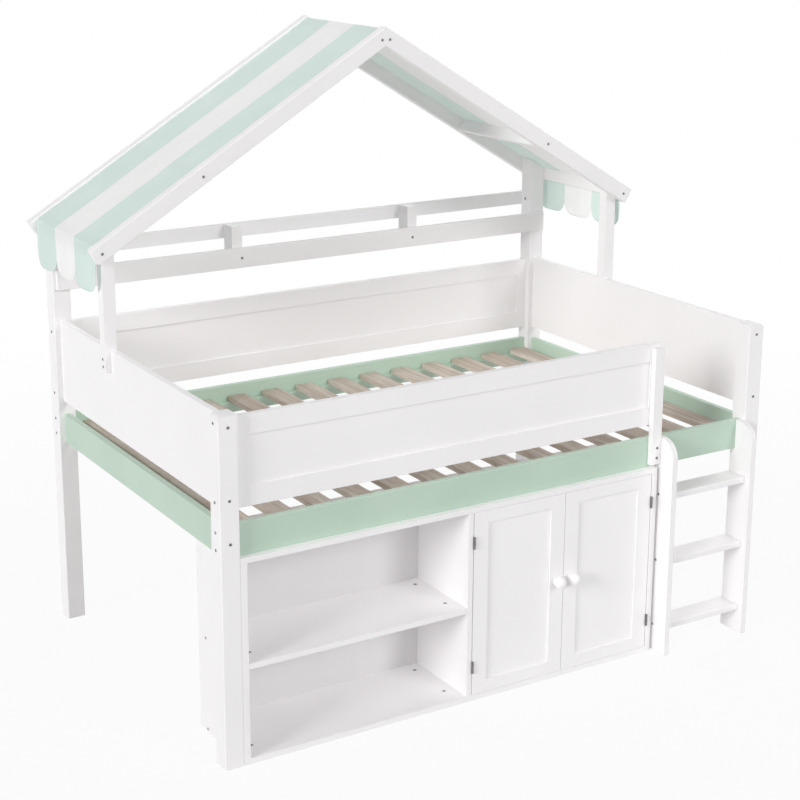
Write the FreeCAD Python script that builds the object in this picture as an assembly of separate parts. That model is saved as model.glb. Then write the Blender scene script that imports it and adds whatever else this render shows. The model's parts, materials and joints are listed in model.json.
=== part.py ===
import FreeCAD, Part
import math
import os

os.makedirs("parts", exist_ok=True)

# Bed frame, in millimetres
bed_length = 2080.0
bed_width = 1340.0
post_size = 63.0
front_post_height = 1110.0
post_corner_radius = 20.0
post_edge_radius = 3.0
board_thickness = 22.0
edge_radius = 2.5
rail_bottom = 668.0
rail_height = 104.0
panel_gap = 46.0
panel_below_post = 12.0
end_panel_below_post = 2.0

# Framed panels of the front guard and of the back
frame_rail_share = 0.2215
frame_stile_width = 43.0
infill_thickness = 8.0
infill_tongue = 9.0
groove_clearance = 0.2
tenon_shoulder_share = 0.2

# Short post at the open end of the front guard
guard_post_width = 41.0
guard_post_inset = 12.0

# High guard on the back posts
back_guard_thickness = 20.0
back_guard_end_inset = 12.0
lower_guard_height = 73.0
upper_guard_height = 52.0
guard_rail_gap = 25.0
guard_below_eave = 109.0
spacer_width = 42.0
spacer_shares = (-0.32, 0.4)

# Slats and what they lie on
slat_count = 14
slat_width = 72.0
slat_thickness = 18.0
slat_recess = 40.0
slat_end_clearance = 2.0
first_slat_gap = 54.0
fitting_clearance = 1.0
ledger_width = 22.0
ledger_height = 40.0
support_beam_width = 45.0
support_beam_height = 60.0

# Roof
eave_rise = 371.0
eave_overhang = 48.0
roof_pitch = math.radians(31.0)
roof_depth = 550.0
rafter_depth = 55.0
rafter_thickness = 35.0
roof_post_depth = 40.0
roof_post_lap = 73.0
roof_post_foot_radius = 8.0
post_top_clearance = 3.0
ridge_half_width = 28.0
ridge_underside = 58.0
mid_batten_share = 0.648
mid_batten_thickness = 22.0
mid_batten_depth = 44.0
eave_batten_thickness = 20.0
eave_batten_depth = 36.0

# Canopy, one sheet with a scalloped valance on each side
canopy_thickness = 2.0
canopy_drop = 4.0
canopy_clearance = 0.6
canopy_sag = 3.0
ridge_fold_radius = 8.0
eave_fold_radius = 6.0
support_fold_radius = 300.0
sag_radius = 6000.0
valance_length = 160.0
valance_joint_share = 0.25
scallop_count = 3
scallop_radius_share = 0.315
scallop_straight = 1.0
scallop_gap = 2.0

# Storage unit under the front rail
unit_depth = 302.0
unit_side_thickness = 22.0
unit_board_thickness = 18.0
unit_back_thickness = 5.0
unit_end_gap = 12.0
cabinet_width = 725.0
shelf_height = 310.0

# Doors
door_thickness = 20.0
door_gap = 2.0
door_stile_width = 55.0
door_rail_height = 42.0
door_infill_thickness = 6.0
door_infill_tongue = 8.0
knob_offset = 30.0
knob_rise = 16.0
knob_neck_radius = 9.0
knob_ball_radius = 21.0
knob_ball_stand_off = 24.5
knob_steps = 5
knob_crown_angle = 160.0
catch_length = 60.0
catch_depth = 18.0
catch_height = 12.0
catch_clearance = 0.5

# Butt hinges
hinge_inset = 99.0
hinge_length = 40.0
hinge_gap = 3.0
leaf_thickness = 1.2
leaf_depth = 17.0
knuckle_radius = 4.0
knuckle_count = 3
knuckle_clearance = 0.3
hinge_stand_off = 4.5
pin_radius = 1.5
pin_running_clearance = 0.05

# Ladder
ladder_width = 371.5
ladder_reach = 63.0
ladder_stile_thickness = 20.0
ladder_side_clearance = 0.5
ladder_top_radius = 65.0
tread_set_back = 22.0
tread_thickness = 22.0
tread_edge_radius = 5.0
first_tread_height = 94.0
tread_rise = 238.0
tread_names = ("lower", "middle", "upper")

# Reference planes: the frame is centred on X and Y and stands on Z zero
half_length = bed_length / 2
overall_depth = ladder_reach + bed_width + rafter_thickness
front = ladder_reach - overall_depth / 2
back = front + bed_width
inner_reach = half_length - post_size
board_inset = (post_size - board_thickness) / 2
front_board = front + board_inset
front_board_back = front_board + board_thickness
back_board_back = back - board_inset
back_board = back_board_back - board_thickness
end_board = half_length - board_inset - board_thickness
end_board_outside = end_board + board_thickness
rail_top = rail_bottom + rail_height
panel_bottom = rail_top + panel_gap
panel_top = front_post_height - panel_below_post
end_panel_top = front_post_height - end_panel_below_post
ladder_left = inner_reach - ladder_width
guard_end = ladder_left - ladder_side_clearance
slope = math.tan(roof_pitch)
eave_height = end_panel_top + eave_rise
apex_height = eave_height + half_length * slope
roof_half_span = half_length + eave_overhang
roof_front = back - roof_depth
canopy_front = roof_front + rafter_thickness
batten_drop = canopy_drop + canopy_thickness + canopy_clearance
post_drop = canopy_drop + canopy_thickness + post_top_clearance

X = FreeCAD.Vector(1, 0, 0)
Y = FreeCAD.Vector(0, 1, 0)
Z = FreeCAD.Vector(0, 0, 1)

pieces = {}


def box(x_range, y_range, z_range):
    low = FreeCAD.Vector(min(x_range), min(y_range), min(z_range))
    sizes = [abs(r[1] - r[0]) for r in (x_range, y_range, z_range)]
    return Part.makeBox(sizes[0], sizes[1], sizes[2], low)


def eased(shape, direction, radius):
    """Round every straight edge that runs along the given direction."""
    chosen = []
    for edge in shape.Edges:
        span = edge.Vertexes[1].Point - edge.Vertexes[0].Point
        if span.cross(direction).Length < 1e-6 * span.Length:
            chosen.append(edge)
    return shape.makeFillet(radius, chosen)


def rounded_face(corners, place):
    """Closed outline through (u, v, radius) corners, each corner rounded by its radius."""
    edges = []
    first = None
    last = None
    for index, (u, v, radius) in enumerate(corners):
        corner = place(u, v)
        before = corner - place(*corners[index - 1][:2])
        after = place(*corners[(index + 1) % len(corners)][:2]) - corner
        before.normalize()
        after.normalize()
        turn = before.getAngle(after)
        start = corner
        end = corner
        if radius > 0:
            start = corner - before * (radius * math.tan(turn / 2))
            end = corner + after * (radius * math.tan(turn / 2))
        if last is None:
            first = start
        else:
            edges.append(Part.makeLine(last, start))
        if radius > 0:
            inward = after - before
            inward.normalize()
            middle = corner + inward * (radius / math.cos(turn / 2) - radius)
            edges.append(Part.Arc(start, middle, end).toShape())
        last = end
    edges.append(Part.makeLine(last, first))
    return Part.Face(Part.Wire(edges))


def across(y_start, y_end, corners):
    """Extrude an outline drawn in X and Z along Y."""
    face = rounded_face(corners, lambda u, v: FreeCAD.Vector(u, y_start, v))
    return face.extrude(Y * (y_end - y_start))


def along(x_start, x_end, corners):
    """Extrude an outline drawn in Y and Z along X."""
    face = rounded_face(corners, lambda u, v: FreeCAD.Vector(x_start, u, v))
    return face.extrude(X * (x_end - x_start))


def mirrored(side, corners):
    """Outline corners for the right side, turned over for the left."""
    return [(side * u, v, r) for u, v, r in corners]


def roof_line(reach, drop):
    """Height of a line parallel to the rafter tops, drop below them, at a distance from the ridge."""
    return apex_height - reach * slope - drop / math.cos(roof_pitch)


def roof_point(run, drop):
    """Point run down the slope from the ridge and drop square below it, on the right side."""
    reach = run * math.cos(roof_pitch) - drop * math.sin(roof_pitch)
    height = apex_height - run * math.sin(roof_pitch) - drop * math.cos(roof_pitch)
    return reach, height


def framed_panel(x_range, y_range, z_range, stile, rail, infill, tongue):
    """Stiles, rails tenoned between them and a thin infill held in a groove all round."""
    x0, x1 = x_range
    z0, z1 = z_range
    middle = sum(y_range) / 2
    half = infill / 2
    stiles = [
        box((x0, x0 + stile), y_range, z_range),
        box((x1 - stile, x1), y_range, z_range),
    ]
    rails = [
        box((x0 + stile, x1 - stile), y_range, (z0, z0 + rail)),
        box((x0 + stile, x1 - stile), y_range, (z1 - rail, z1)),
    ]
    held = tongue - groove_clearance
    shoulder = tenon_shoulder_share * rail
    panel_x = (x0 + stile - held, x1 - stile + held)
    panel_y = (middle - half, middle + half)
    panel = box(panel_x, panel_y, (z0 + rail - held, z1 - rail + held))
    groove_x = (x0 + stile - tongue, x1 - stile + tongue)
    groove_y = (panel_y[0] - groove_clearance, panel_y[1] + groove_clearance)
    groove = box(groove_x, groove_y, (z0 + rail - tongue, z1 - rail + tongue))
    stile_groove = box(groove_x, groove_y, (z0 + shoulder, z1 - shoulder))
    tenons = [
        box(panel_x, panel_y, (z0 + shoulder, z0 + rail - tongue)),
        box(panel_x, panel_y, (z1 - rail + tongue, z1 - shoulder)),
    ]
    stiles = [piece.cut(stile_groove) for piece in stiles]
    rails = [piece.fuse(tenon).cut(groove) for piece, tenon in zip(rails, tenons)]
    rails = [piece.removeSplitter() for piece in rails]
    return Part.makeCompound(stiles), Part.makeCompound(rails), panel


# Corner posts
def post_section(side, y_start):
    height = apex_height
    near = min(side * inner_reach, side * half_length)
    blank = box((near, near + post_size), (y_start, y_start + post_size), (0, height))
    return eased(blank, Z, post_edge_radius)


sides = {"left": -1, "right": 1}
for name, side in sides.items():
    front_outline = mirrored(side, [
        (inner_reach, 0, 0),
        (half_length, 0, 0),
        (half_length, front_post_height, post_corner_radius),
        (inner_reach, front_post_height, 0),
    ])
    front_blank = across(front, front + post_size, front_outline)
    pieces["post_front_" + name] = front_blank.common(post_section(side, front))
    back_outline = mirrored(side, [
        (inner_reach, 0, 0),
        (half_length, 0, 0),
        (half_length, roof_line(half_length, post_drop), 0),
        (inner_reach, roof_line(inner_reach, post_drop), 0),
    ])
    back_blank = across(back - post_size, back, back_outline)
    pieces["post_back_" + name] = back_blank.common(post_section(side, back - post_size))

# Bed rails and end panels
rail_span = (-inner_reach, inner_reach)
rail_rise = (rail_bottom, rail_top)
end_span = (front + post_size, back - post_size)
front_rail = box(rail_span, (front_board, front_board_back), rail_rise)
pieces["rail_front"] = eased(front_rail, X, edge_radius)
back_rail = box(rail_span, (back_board, back_board_back), rail_rise)
pieces["rail_back"] = eased(back_rail, X, edge_radius)
for name, side in sides.items():
    thickness = (side * end_board, side * end_board_outside)
    pieces["rail_" + name] = eased(box(thickness, end_span, rail_rise), Y, edge_radius)
    end_panel = box(thickness, end_span, (panel_bottom, end_panel_top))
    pieces["end_panel_" + name] = eased(end_panel, Y, edge_radius)

# Front guard, its post and the back panel
frame_rail_height = frame_rail_share * (panel_top - panel_bottom)
stiles, rails, infill = framed_panel(
    (-inner_reach, guard_end),
    (front_board, front_board_back),
    (panel_bottom, panel_top),
    frame_stile_width,
    frame_rail_height,
    infill_thickness,
    infill_tongue,
)
pieces["front_guard_stiles"] = stiles
pieces["front_guard_rails"] = rails
pieces["front_guard_infill"] = infill
guard_post = box(
    (guard_end - guard_post_width, guard_end),
    (front, front_board),
    (rail_bottom + guard_post_inset, panel_top - guard_post_inset),
)
pieces["guard_post"] = eased(guard_post, Z, edge_radius)
stiles, rails, infill = framed_panel(
    rail_span,
    (back_board, back_board_back),
    (panel_bottom, panel_top),
    frame_stile_width,
    frame_rail_height,
    infill_thickness,
    infill_tongue,
)
pieces["back_panel_stiles"] = stiles
pieces["back_panel_rails"] = rails
pieces["back_panel_infill"] = infill

# High guard on the back posts
back_guard_reach = half_length - back_guard_end_inset
guard_span = (-back_guard_reach, back_guard_reach)
upper_guard_top = eave_height - guard_below_eave
upper_guard_bottom = upper_guard_top - upper_guard_height
lower_guard_top = upper_guard_bottom - guard_rail_gap
lower_guard_bottom = lower_guard_top - lower_guard_height
lower_front = back - post_size - back_guard_thickness
lower_rail = box(
    guard_span,
    (lower_front, back - post_size),
    (lower_guard_bottom, lower_guard_top),
)
pieces["back_guard_lower_rail"] = eased(lower_rail, X, edge_radius)
upper_back = back + back_guard_thickness
upper_rail = box(guard_span, (back, upper_back), (upper_guard_bottom, upper_guard_top))
pieces["back_guard_upper_rail"] = eased(upper_rail, X, edge_radius)
spacers = []
for share in spacer_shares:
    centre = share * half_length
    spacer = box(
        (centre - spacer_width / 2, centre + spacer_width / 2),
        (back - post_size, back),
        (lower_guard_bottom, upper_guard_top),
    )
    spacers.append(spacer)
pieces["back_guard_spacers"] = Part.makeCompound(spacers)

# Slats, ledgers and support beam
slat_top = rail_top - slat_recess
slat_bottom = slat_top - slat_thickness
slat_front = front_board_back + slat_end_clearance
slat_back = back_board - slat_end_clearance
first_slat = -end_board + first_slat_gap
last_slat = inner_reach - fitting_clearance - slat_width
slat_pitch = (last_slat - first_slat) / (slat_count - 1)
slats = []
for index in range(slat_count):
    start = first_slat + index * slat_pitch
    slats.append(across(slat_front, slat_back, [
        (start, slat_bottom, 0),
        (start + slat_width, slat_bottom, 0),
        (start + slat_width, slat_top, edge_radius),
        (start, slat_top, edge_radius),
    ]))
pieces["slats"] = Part.makeCompound(slats)
ledger_span = (-inner_reach + fitting_clearance, inner_reach - fitting_clearance)
ledger_rise = (slat_bottom - ledger_height, slat_bottom)
pieces["ledger_front"] = box(ledger_span, (front_board_back, front_board_back + ledger_width), ledger_rise)
pieces["ledger_back"] = box(ledger_span, (back_board - ledger_width, back_board), ledger_rise)
bed_middle = (front + back) / 2
pieces["slat_support_beam"] = box(
    (-end_board, end_board),
    (bed_middle - support_beam_width / 2, bed_middle + support_beam_width / 2),
    (slat_bottom - support_beam_height, slat_bottom),
)

# Roof timbers
rafter_run = roof_half_span / math.cos(roof_pitch)
mid_run = mid_batten_share * rafter_run
eave_outside = half_length + fitting_clearance + eave_batten_thickness
eave_batten_bottom = roof_line(eave_outside, batten_drop) - eave_batten_depth
roof_post_foot = end_panel_top - roof_post_lap
mid_battens = []
eave_battens = []
for name, side in sides.items():
    rafter_outline = mirrored(side, [
        (0, apex_height, 0),
        (*roof_point(rafter_run, 0), 0),
        (*roof_point(rafter_run, rafter_depth), 0),
        (0, roof_line(0, rafter_depth), 0),
    ])
    down = FreeCAD.Vector(side * math.cos(roof_pitch), 0, -math.sin(roof_pitch))
    front_rafter = across(roof_front, canopy_front, rafter_outline)
    pieces["rafter_front_" + name] = eased(front_rafter, down, edge_radius)
    back_rafter = across(back, back + rafter_thickness, rafter_outline)
    pieces["rafter_back_" + name] = eased(back_rafter, down, edge_radius)
    pieces["roof_post_" + name] = across(
        canopy_front,
        canopy_front + roof_post_depth,
        mirrored(side, [
            (end_board, end_panel_top, 0),
            (end_board_outside, end_panel_top, 0),
            (end_board_outside, roof_post_foot, 0),
            (half_length, roof_post_foot, roof_post_foot_radius),
            (half_length, roof_line(half_length, post_drop), 0),
            (end_board, roof_line(end_board, post_drop), 0),
        ]),
    )
    half_batten = mid_batten_thickness / 2
    batten_bottom = batten_drop + mid_batten_depth
    mid_battens.append(across(canopy_front, back, mirrored(side, [
        (*roof_point(mid_run - half_batten, batten_drop), 0),
        (*roof_point(mid_run + half_batten, batten_drop), 0),
        (*roof_point(mid_run + half_batten, batten_bottom), 0),
        (*roof_point(mid_run - half_batten, batten_bottom), 0),
    ])))
    eave_inside = eave_outside - eave_batten_thickness
    eave_battens.append(across(canopy_front, back, mirrored(side, [
        (eave_inside, eave_batten_bottom, 0),
        (eave_outside, eave_batten_bottom, 0),
        (eave_outside, roof_line(eave_outside, batten_drop), eave_fold_radius - canopy_thickness),
        (eave_inside, roof_line(eave_inside, batten_drop), 0),
    ])))
pieces["mid_battens"] = Part.makeCompound(mid_battens)
pieces["eave_battens"] = Part.makeCompound(eave_battens)
pieces["ridge_beam"] = across(canopy_front, back, [
    (0, roof_line(0, batten_drop), ridge_fold_radius - canopy_thickness),
    (ridge_half_width, roof_line(ridge_half_width, batten_drop), 0),
    (ridge_half_width, apex_height - ridge_underside, 0),
    (-ridge_half_width, apex_height - ridge_underside, 0),
    (-ridge_half_width, roof_line(ridge_half_width, batten_drop), 0),
])

# Canopy: the section over the roof, then the two scalloped valances
valance_inside = eave_outside + canopy_clearance
valance_outside = valance_inside + canopy_thickness
valance_top = roof_line(valance_outside, canopy_drop)
valance_bottom = valance_top - valance_length
valance_joint = valance_top - valance_joint_share * valance_length
eave_run = eave_outside / math.cos(roof_pitch)


def slope_corners(drop, face, bend):
    """One slope of the sheet from the ridge out to the valance, with a slight sag in each bay."""
    first_bay = roof_point(mid_run / 2, drop + canopy_sag)
    second_bay = roof_point((mid_run + eave_run) / 2, drop + canopy_sag / 2)
    return [
        (*first_bay, sag_radius),
        (*roof_point(mid_run, drop), support_fold_radius),
        (*second_bay, sag_radius),
        (face, roof_line(face, drop), bend),
        (face, valance_joint, 0),
    ]


outer_drop = canopy_drop
inner_drop = canopy_drop + canopy_thickness
outer_slope = slope_corners(outer_drop, valance_outside, eave_fold_radius)
inner_bend = eave_fold_radius - canopy_thickness
inner_slope = slope_corners(inner_drop, valance_inside, inner_bend)
sheet_outline = [(0, roof_line(0, outer_drop), ridge_fold_radius)] + outer_slope
sheet_outline += inner_slope[::-1]
sheet_outline += [(0, roof_line(0, inner_drop), ridge_fold_radius - canopy_thickness)]
sheet_outline += mirrored(-1, inner_slope)
sheet_outline += mirrored(-1, outer_slope[::-1])
sheet_start = canopy_front + canopy_clearance
sheet_end = back - canopy_clearance
canopy = across(sheet_start, sheet_end, sheet_outline)
scallop_width = (sheet_end - sheet_start) / scallop_count
scallop_radius = scallop_radius_share * scallop_width
notch = valance_bottom + scallop_radius + scallop_straight
valance_outline = [(sheet_end, valance_joint, 0), (sheet_start, valance_joint, 0)]
for index in range(scallop_count):
    left = sheet_start + index * scallop_width
    right = left + scallop_width
    if index > 0:
        left += scallop_gap / 2
        valance_outline.append((left, notch, 0))
    if index < scallop_count - 1:
        right -= scallop_gap / 2
    valance_outline.append((left, valance_bottom, scallop_radius))
    valance_outline.append((right, valance_bottom, scallop_radius))
    if index < scallop_count - 1:
        valance_outline.append((right, notch, 0))
for side in sides.values():
    canopy = canopy.fuse(along(side * valance_inside, side * valance_outside, valance_outline))
pieces["canopy"] = canopy.removeSplitter()

# Storage unit
unit_left = -inner_reach
bay_left = unit_left + unit_side_thickness
unit_right = guard_end - unit_end_gap
cabinet_right = unit_right - unit_side_thickness
cabinet_left = cabinet_right - cabinet_width
divider_left = cabinet_left - unit_board_thickness
unit_board_end = front + unit_depth - unit_back_thickness
unit_end = front + unit_depth
side_top = rail_bottom - unit_board_thickness
floor_board = (0, unit_board_thickness)
shelf_top = shelf_height + unit_board_thickness
pieces["unit_side_left"] = box((unit_left, bay_left), (front, unit_end), (0, side_top))
pieces["unit_side_right"] = box((cabinet_right, unit_right), (front, unit_end), (0, side_top))
pieces["unit_divider"] = box((divider_left, cabinet_left), (front, unit_board_end), (0, side_top))
top_board = box((unit_left, unit_right), (front, unit_end), (side_top, rail_bottom))
pieces["unit_top_board"] = top_board
pieces["unit_shelf_bottom"] = box((bay_left, divider_left), (front, unit_board_end), floor_board)
pieces["unit_cabinet_bottom"] = box((cabinet_left, cabinet_right), (front, unit_board_end), floor_board)
shelf = box((bay_left, divider_left), (front, unit_board_end), (shelf_height, shelf_top))
pieces["unit_shelf"] = shelf
pieces["unit_back"] = box((bay_left, cabinet_right), (unit_board_end, unit_end), (0, side_top))

# Doors: the left one is drawn, the right one is its mirror image
meeting_line = (cabinet_left + cabinet_right) / 2
door_left_edge = cabinet_left + hinge_gap
door_right_edge = meeting_line - door_gap / 2
door_bottom = unit_board_thickness + door_gap
door_top = side_top - door_gap
knob_height = (door_bottom + door_top) / 2 + knob_rise
hinge_heights = (door_bottom + hinge_inset, door_top - hinge_inset)
stiles, rails, infill = framed_panel(
    (door_left_edge, door_right_edge),
    (front, front + door_thickness),
    (door_bottom, door_top),
    door_stile_width,
    door_rail_height,
    door_infill_thickness,
    door_infill_tongue,
)


def turned_knob(x_centre):
    """Round ball on a short neck, turned about Y in a few straight steps."""
    neck_angle = math.degrees(math.asin(knob_neck_radius / knob_ball_radius))
    outline = [(0, 0), (knob_neck_radius, 0)]
    for step in range(knob_steps + 1):
        turn = neck_angle + (knob_crown_angle - neck_angle) * step / knob_steps
        radius = knob_ball_radius * math.sin(math.radians(turn))
        outline.append((radius, knob_ball_stand_off - knob_ball_radius * math.cos(math.radians(turn))))
    outline.append((0, outline[-1][1]))
    points = [FreeCAD.Vector(x_centre + radius, front - reach, knob_height) for radius, reach in outline]
    face = Part.Face(Part.makePolygon(points + points[:1]))
    return face.revolve(FreeCAD.Vector(x_centre, front, knob_height), Y, 360)


# Hinges of the left door
axis_x = cabinet_left + hinge_gap / 2
axis_y = front - hinge_stand_off
segment = (hinge_length - knuckle_clearance * (knuckle_count - 1)) / knuckle_count


def hinge_leaf(middle_height, x_range, moving):
    """Leaf plate with the knuckles that belong to it, bored for the pin."""
    low = middle_height - hinge_length / 2
    plate_start = axis_y + knuckle_radius + knuckle_clearance
    leaf = box(x_range, (plate_start, front + leaf_depth), (low, low + hinge_length))
    for index in range(knuckle_count):
        if (index % 2 == 1) == moving:
            base = low + index * (segment + knuckle_clearance)
            start = FreeCAD.Vector(axis_x, axis_y, base)
            leaf = leaf.fuse(Part.makeCylinder(knuckle_radius, segment, start, Z))
            leaf = leaf.fuse(box(x_range, (axis_y, plate_start), (base, base + segment)))
    start = FreeCAD.Vector(axis_x, axis_y, low)
    bore_radius = pin_radius + pin_running_clearance
    return leaf.cut(Part.makeCylinder(bore_radius, hinge_length, start, Z)).removeSplitter()


def hinge_pin(middle_height):
    low = middle_height - hinge_length / 2
    return Part.makeCylinder(pin_radius, hinge_length, FreeCAD.Vector(axis_x, axis_y, low), Z)


fixed_leaf = (cabinet_left, cabinet_left + leaf_thickness)
moving_leaf = (door_left_edge - leaf_thickness, door_left_edge)
fixed_leaves = [hinge_leaf(height, fixed_leaf, False) for height in hinge_heights]
moving_leaves = [hinge_leaf(height, moving_leaf, True) for height in hinge_heights]
pins = [hinge_pin(height) for height in hinge_heights]
left_door = {
    "stiles": stiles,
    "rails": rails,
    "infill": infill,
    "knob": turned_knob(meeting_line - knob_offset),
    "hinge_leaves": Part.makeCompound(moving_leaves),
}
mirror_point = FreeCAD.Vector(meeting_line, 0, 0)
for name, shape in left_door.items():
    pieces["door_left_" + name] = shape
    pieces["door_right_" + name] = shape.mirror(mirror_point, X)
fixed_leaves += [leaf.mirror(mirror_point, X) for leaf in fixed_leaves]
pieces["hinge_frame_leaves"] = Part.makeCompound(fixed_leaves)
pins += [pin.mirror(mirror_point, X) for pin in pins]
pieces["hinge_pins"] = Part.makeCompound(pins)
catch_front = front + door_thickness + catch_clearance
pieces["door_catch"] = box(
    (meeting_line - catch_length / 2, meeting_line + catch_length / 2),
    (catch_front, catch_front + catch_depth),
    (side_top - catch_height, side_top),
)

# Ladder
ladder_front = front - ladder_reach
stile_outline = [
    (ladder_front, 0, 0),
    (front_board_back, 0, 0),
    (front_board_back, rail_bottom, 0),
    (front_board, rail_bottom, 0),
    (front_board, rail_top, 0),
    (ladder_front, rail_top, ladder_top_radius),
]
ladder_inside = (ladder_left + ladder_stile_thickness, inner_reach - ladder_stile_thickness)
pieces["ladder_stile_left"] = along(ladder_left, ladder_inside[0], stile_outline)
pieces["ladder_stile_right"] = along(ladder_inside[1], inner_reach, stile_outline)
for index, name in enumerate(tread_names):
    height = first_tread_height + index * tread_rise
    tread = box(
        ladder_inside,
        (ladder_front + tread_set_back, front_board_back),
        (height - tread_thickness / 2, height + tread_thickness / 2),
    )
    pieces["ladder_tread_" + name] = eased(tread, X, tread_edge_radius)

for name, shape in pieces.items():
    solids = shape.Solids
    piece = solids[0] if len(solids) == 1 else Part.makeCompound(solids)
    piece.exportStep("parts/" + name + ".step")
print(len(pieces), "pieces written")
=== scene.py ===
# %% [markdown]
# # Dressing a loft bed with a tent roof
# The bed comes in as an assembly that already has its real size: posts, rails, slats, a roof, a storage
# unit with two doors and a ladder. This lesson gives every board its finish, sews the canopy, turns the
# door knobs, sets the bolt heads and photographs the result. Nothing that came in is moved or reshaped.

# %% Load the assembly
import json
import math

import bmesh
import bpy
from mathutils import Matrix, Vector


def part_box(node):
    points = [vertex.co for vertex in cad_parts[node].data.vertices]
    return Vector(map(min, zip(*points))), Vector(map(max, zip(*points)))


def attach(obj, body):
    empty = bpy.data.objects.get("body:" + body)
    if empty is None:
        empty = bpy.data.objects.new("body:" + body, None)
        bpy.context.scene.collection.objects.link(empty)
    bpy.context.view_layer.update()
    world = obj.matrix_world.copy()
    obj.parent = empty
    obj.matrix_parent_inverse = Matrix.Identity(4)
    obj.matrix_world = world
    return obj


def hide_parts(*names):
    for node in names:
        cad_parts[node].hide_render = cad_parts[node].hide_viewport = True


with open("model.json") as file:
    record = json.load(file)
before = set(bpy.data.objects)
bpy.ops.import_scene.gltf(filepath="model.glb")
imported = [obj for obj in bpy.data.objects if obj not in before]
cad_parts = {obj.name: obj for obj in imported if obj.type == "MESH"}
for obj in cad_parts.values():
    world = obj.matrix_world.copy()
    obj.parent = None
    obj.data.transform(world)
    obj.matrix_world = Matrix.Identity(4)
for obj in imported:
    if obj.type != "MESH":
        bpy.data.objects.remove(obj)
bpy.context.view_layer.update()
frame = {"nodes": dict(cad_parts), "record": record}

nodes = frame["nodes"]
slot_of = {entry["node"]: entry["material_slot"] for entry in frame["record"]["subparts"]}

# %% [markdown]
# ## Small helpers for shader nodes
# A material is a net of nodes. Placing each node by hand takes three or four lines, so one helper places
# a node, sets its options and fills its sockets, either with a plain value or with a link. Options are set
# first, because some of them, such as the data type of a Mix node, change which sockets there are.

# %% Node helpers
MIX_FACTOR, MIX_FIRST, MIX_SECOND, MIX_RESULT = 0, 6, 7, 2


def add_node(tree, kind, inputs=None, **options):
    """Place one node, set its options, then fill its sockets with values or links."""
    node = tree.nodes.new(kind)
    for option, value in options.items():
        setattr(node, option, value)
    for socket, value in (inputs or {}).items():
        if isinstance(value, bpy.types.NodeSocket):
            tree.links.new(value, node.inputs[socket])
        else:
            node.inputs[socket].default_value = value
    return node


def calc(tree, operation, first, second=0.0):
    """One step of arithmetic on two numbers or sockets."""
    return add_node(tree, "ShaderNodeMath", {0: first, 1: second}, operation=operation).outputs[0]


def mix_colour(tree, factor, first, second):
    """A colour between two others."""
    inputs = {MIX_FACTOR: factor, MIX_FIRST: first, MIX_SECOND: second}
    return add_node(tree, "ShaderNodeMix", inputs, data_type="RGBA").outputs[MIX_RESULT]


def map_range(tree, value, from_low, from_high, to_low, to_high):
    """Stretch a value from one range to another, and stop it at the ends."""
    inputs = {
        "Value": value,
        "From Min": from_low,
        "From Max": from_high,
        "To Min": to_low,
        "To Max": to_high,
    }
    return add_node(tree, "ShaderNodeMapRange", inputs).outputs["Result"]


def noise(tree, position, scale, detail=2.0, distortion=0.0):
    """A cloudy value between about 0 and 1."""
    inputs = {"Vector": position, "Scale": scale, "Detail": detail, "Distortion": distortion}
    return add_node(tree, "ShaderNodeTexNoise", inputs).outputs["Fac"]


def new_group(name, inputs, outputs):
    """Start a node group. Returns its tree, its inputs as sockets and its outputs as sockets."""
    tree = bpy.data.node_groups.new(name, "ShaderNodeTree")
    for socket, kind, value in inputs:
        made = tree.interface.new_socket(socket, in_out="INPUT", socket_type="NodeSocket" + kind)
        made.default_value = value
    for socket, kind in outputs:
        tree.interface.new_socket(socket, in_out="OUTPUT", socket_type="NodeSocket" + kind)
    return tree, tree.nodes.new("NodeGroupInput").outputs, tree.nodes.new("NodeGroupOutput").inputs


def new_material(name):
    """A material with its Principled shader, ready for links."""
    material = bpy.data.materials.new(name)
    material.use_nodes = True
    tree = material.node_tree
    return material, tree, tree.nodes["Principled BSDF"].inputs


print("node helpers ready")

# %% [markdown]
# ## Shared effect: the grain of a board
# Pine and beech show long streaks that run with the board. Under two coats of paint they stay as a faint
# relief, and on bare slats they are the whole look. A cloud texture becomes streaks when the position is
# squeezed along the board before the texture is read, so the group takes that squeeze as an input.

# %% Group: board grain
def make_board_grain():
    tree, given, result = new_group(
        "board_grain",
        [
            ("Position", "Vector", (0, 0, 0)),
            ("Squeeze", "Vector", (1, 1, 1)),
            ("Streaks per Metre", "Float", 60.0),
        ],
        [("Streaks", "Float"), ("Pores", "Float")],
    )
    multiply = {0: given["Position"], 1: given["Squeeze"]}
    along = add_node(tree, "ShaderNodeVectorMath", multiply, operation="MULTIPLY").outputs[0]
    streaks = noise(tree, along, given["Streaks per Metre"], detail=4.0, distortion=0.8)
    fine = calc(tree, "MULTIPLY", given["Streaks per Metre"], 7.0)
    pores = noise(tree, along, fine, detail=2.0)
    tree.links.new(map_range(tree, streaks, 0.3, 0.7, 0.0, 1.0), result["Streaks"])
    tree.links.new(map_range(tree, pores, 0.56, 0.68, 0.0, 1.0), result["Pores"])
    return tree


board_grain = make_board_grain()
print("group:", board_grain.name)

# %% [markdown]
# ## Shared effect: uneven tone and stipple
# No sprayed or rolled coat is one flat colour. It has slow patches, where the coat is thicker or thinner,
# and a fine stipple left by the roller. The group gives both as values, and each finish decides how much
# of them it wants.

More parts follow.
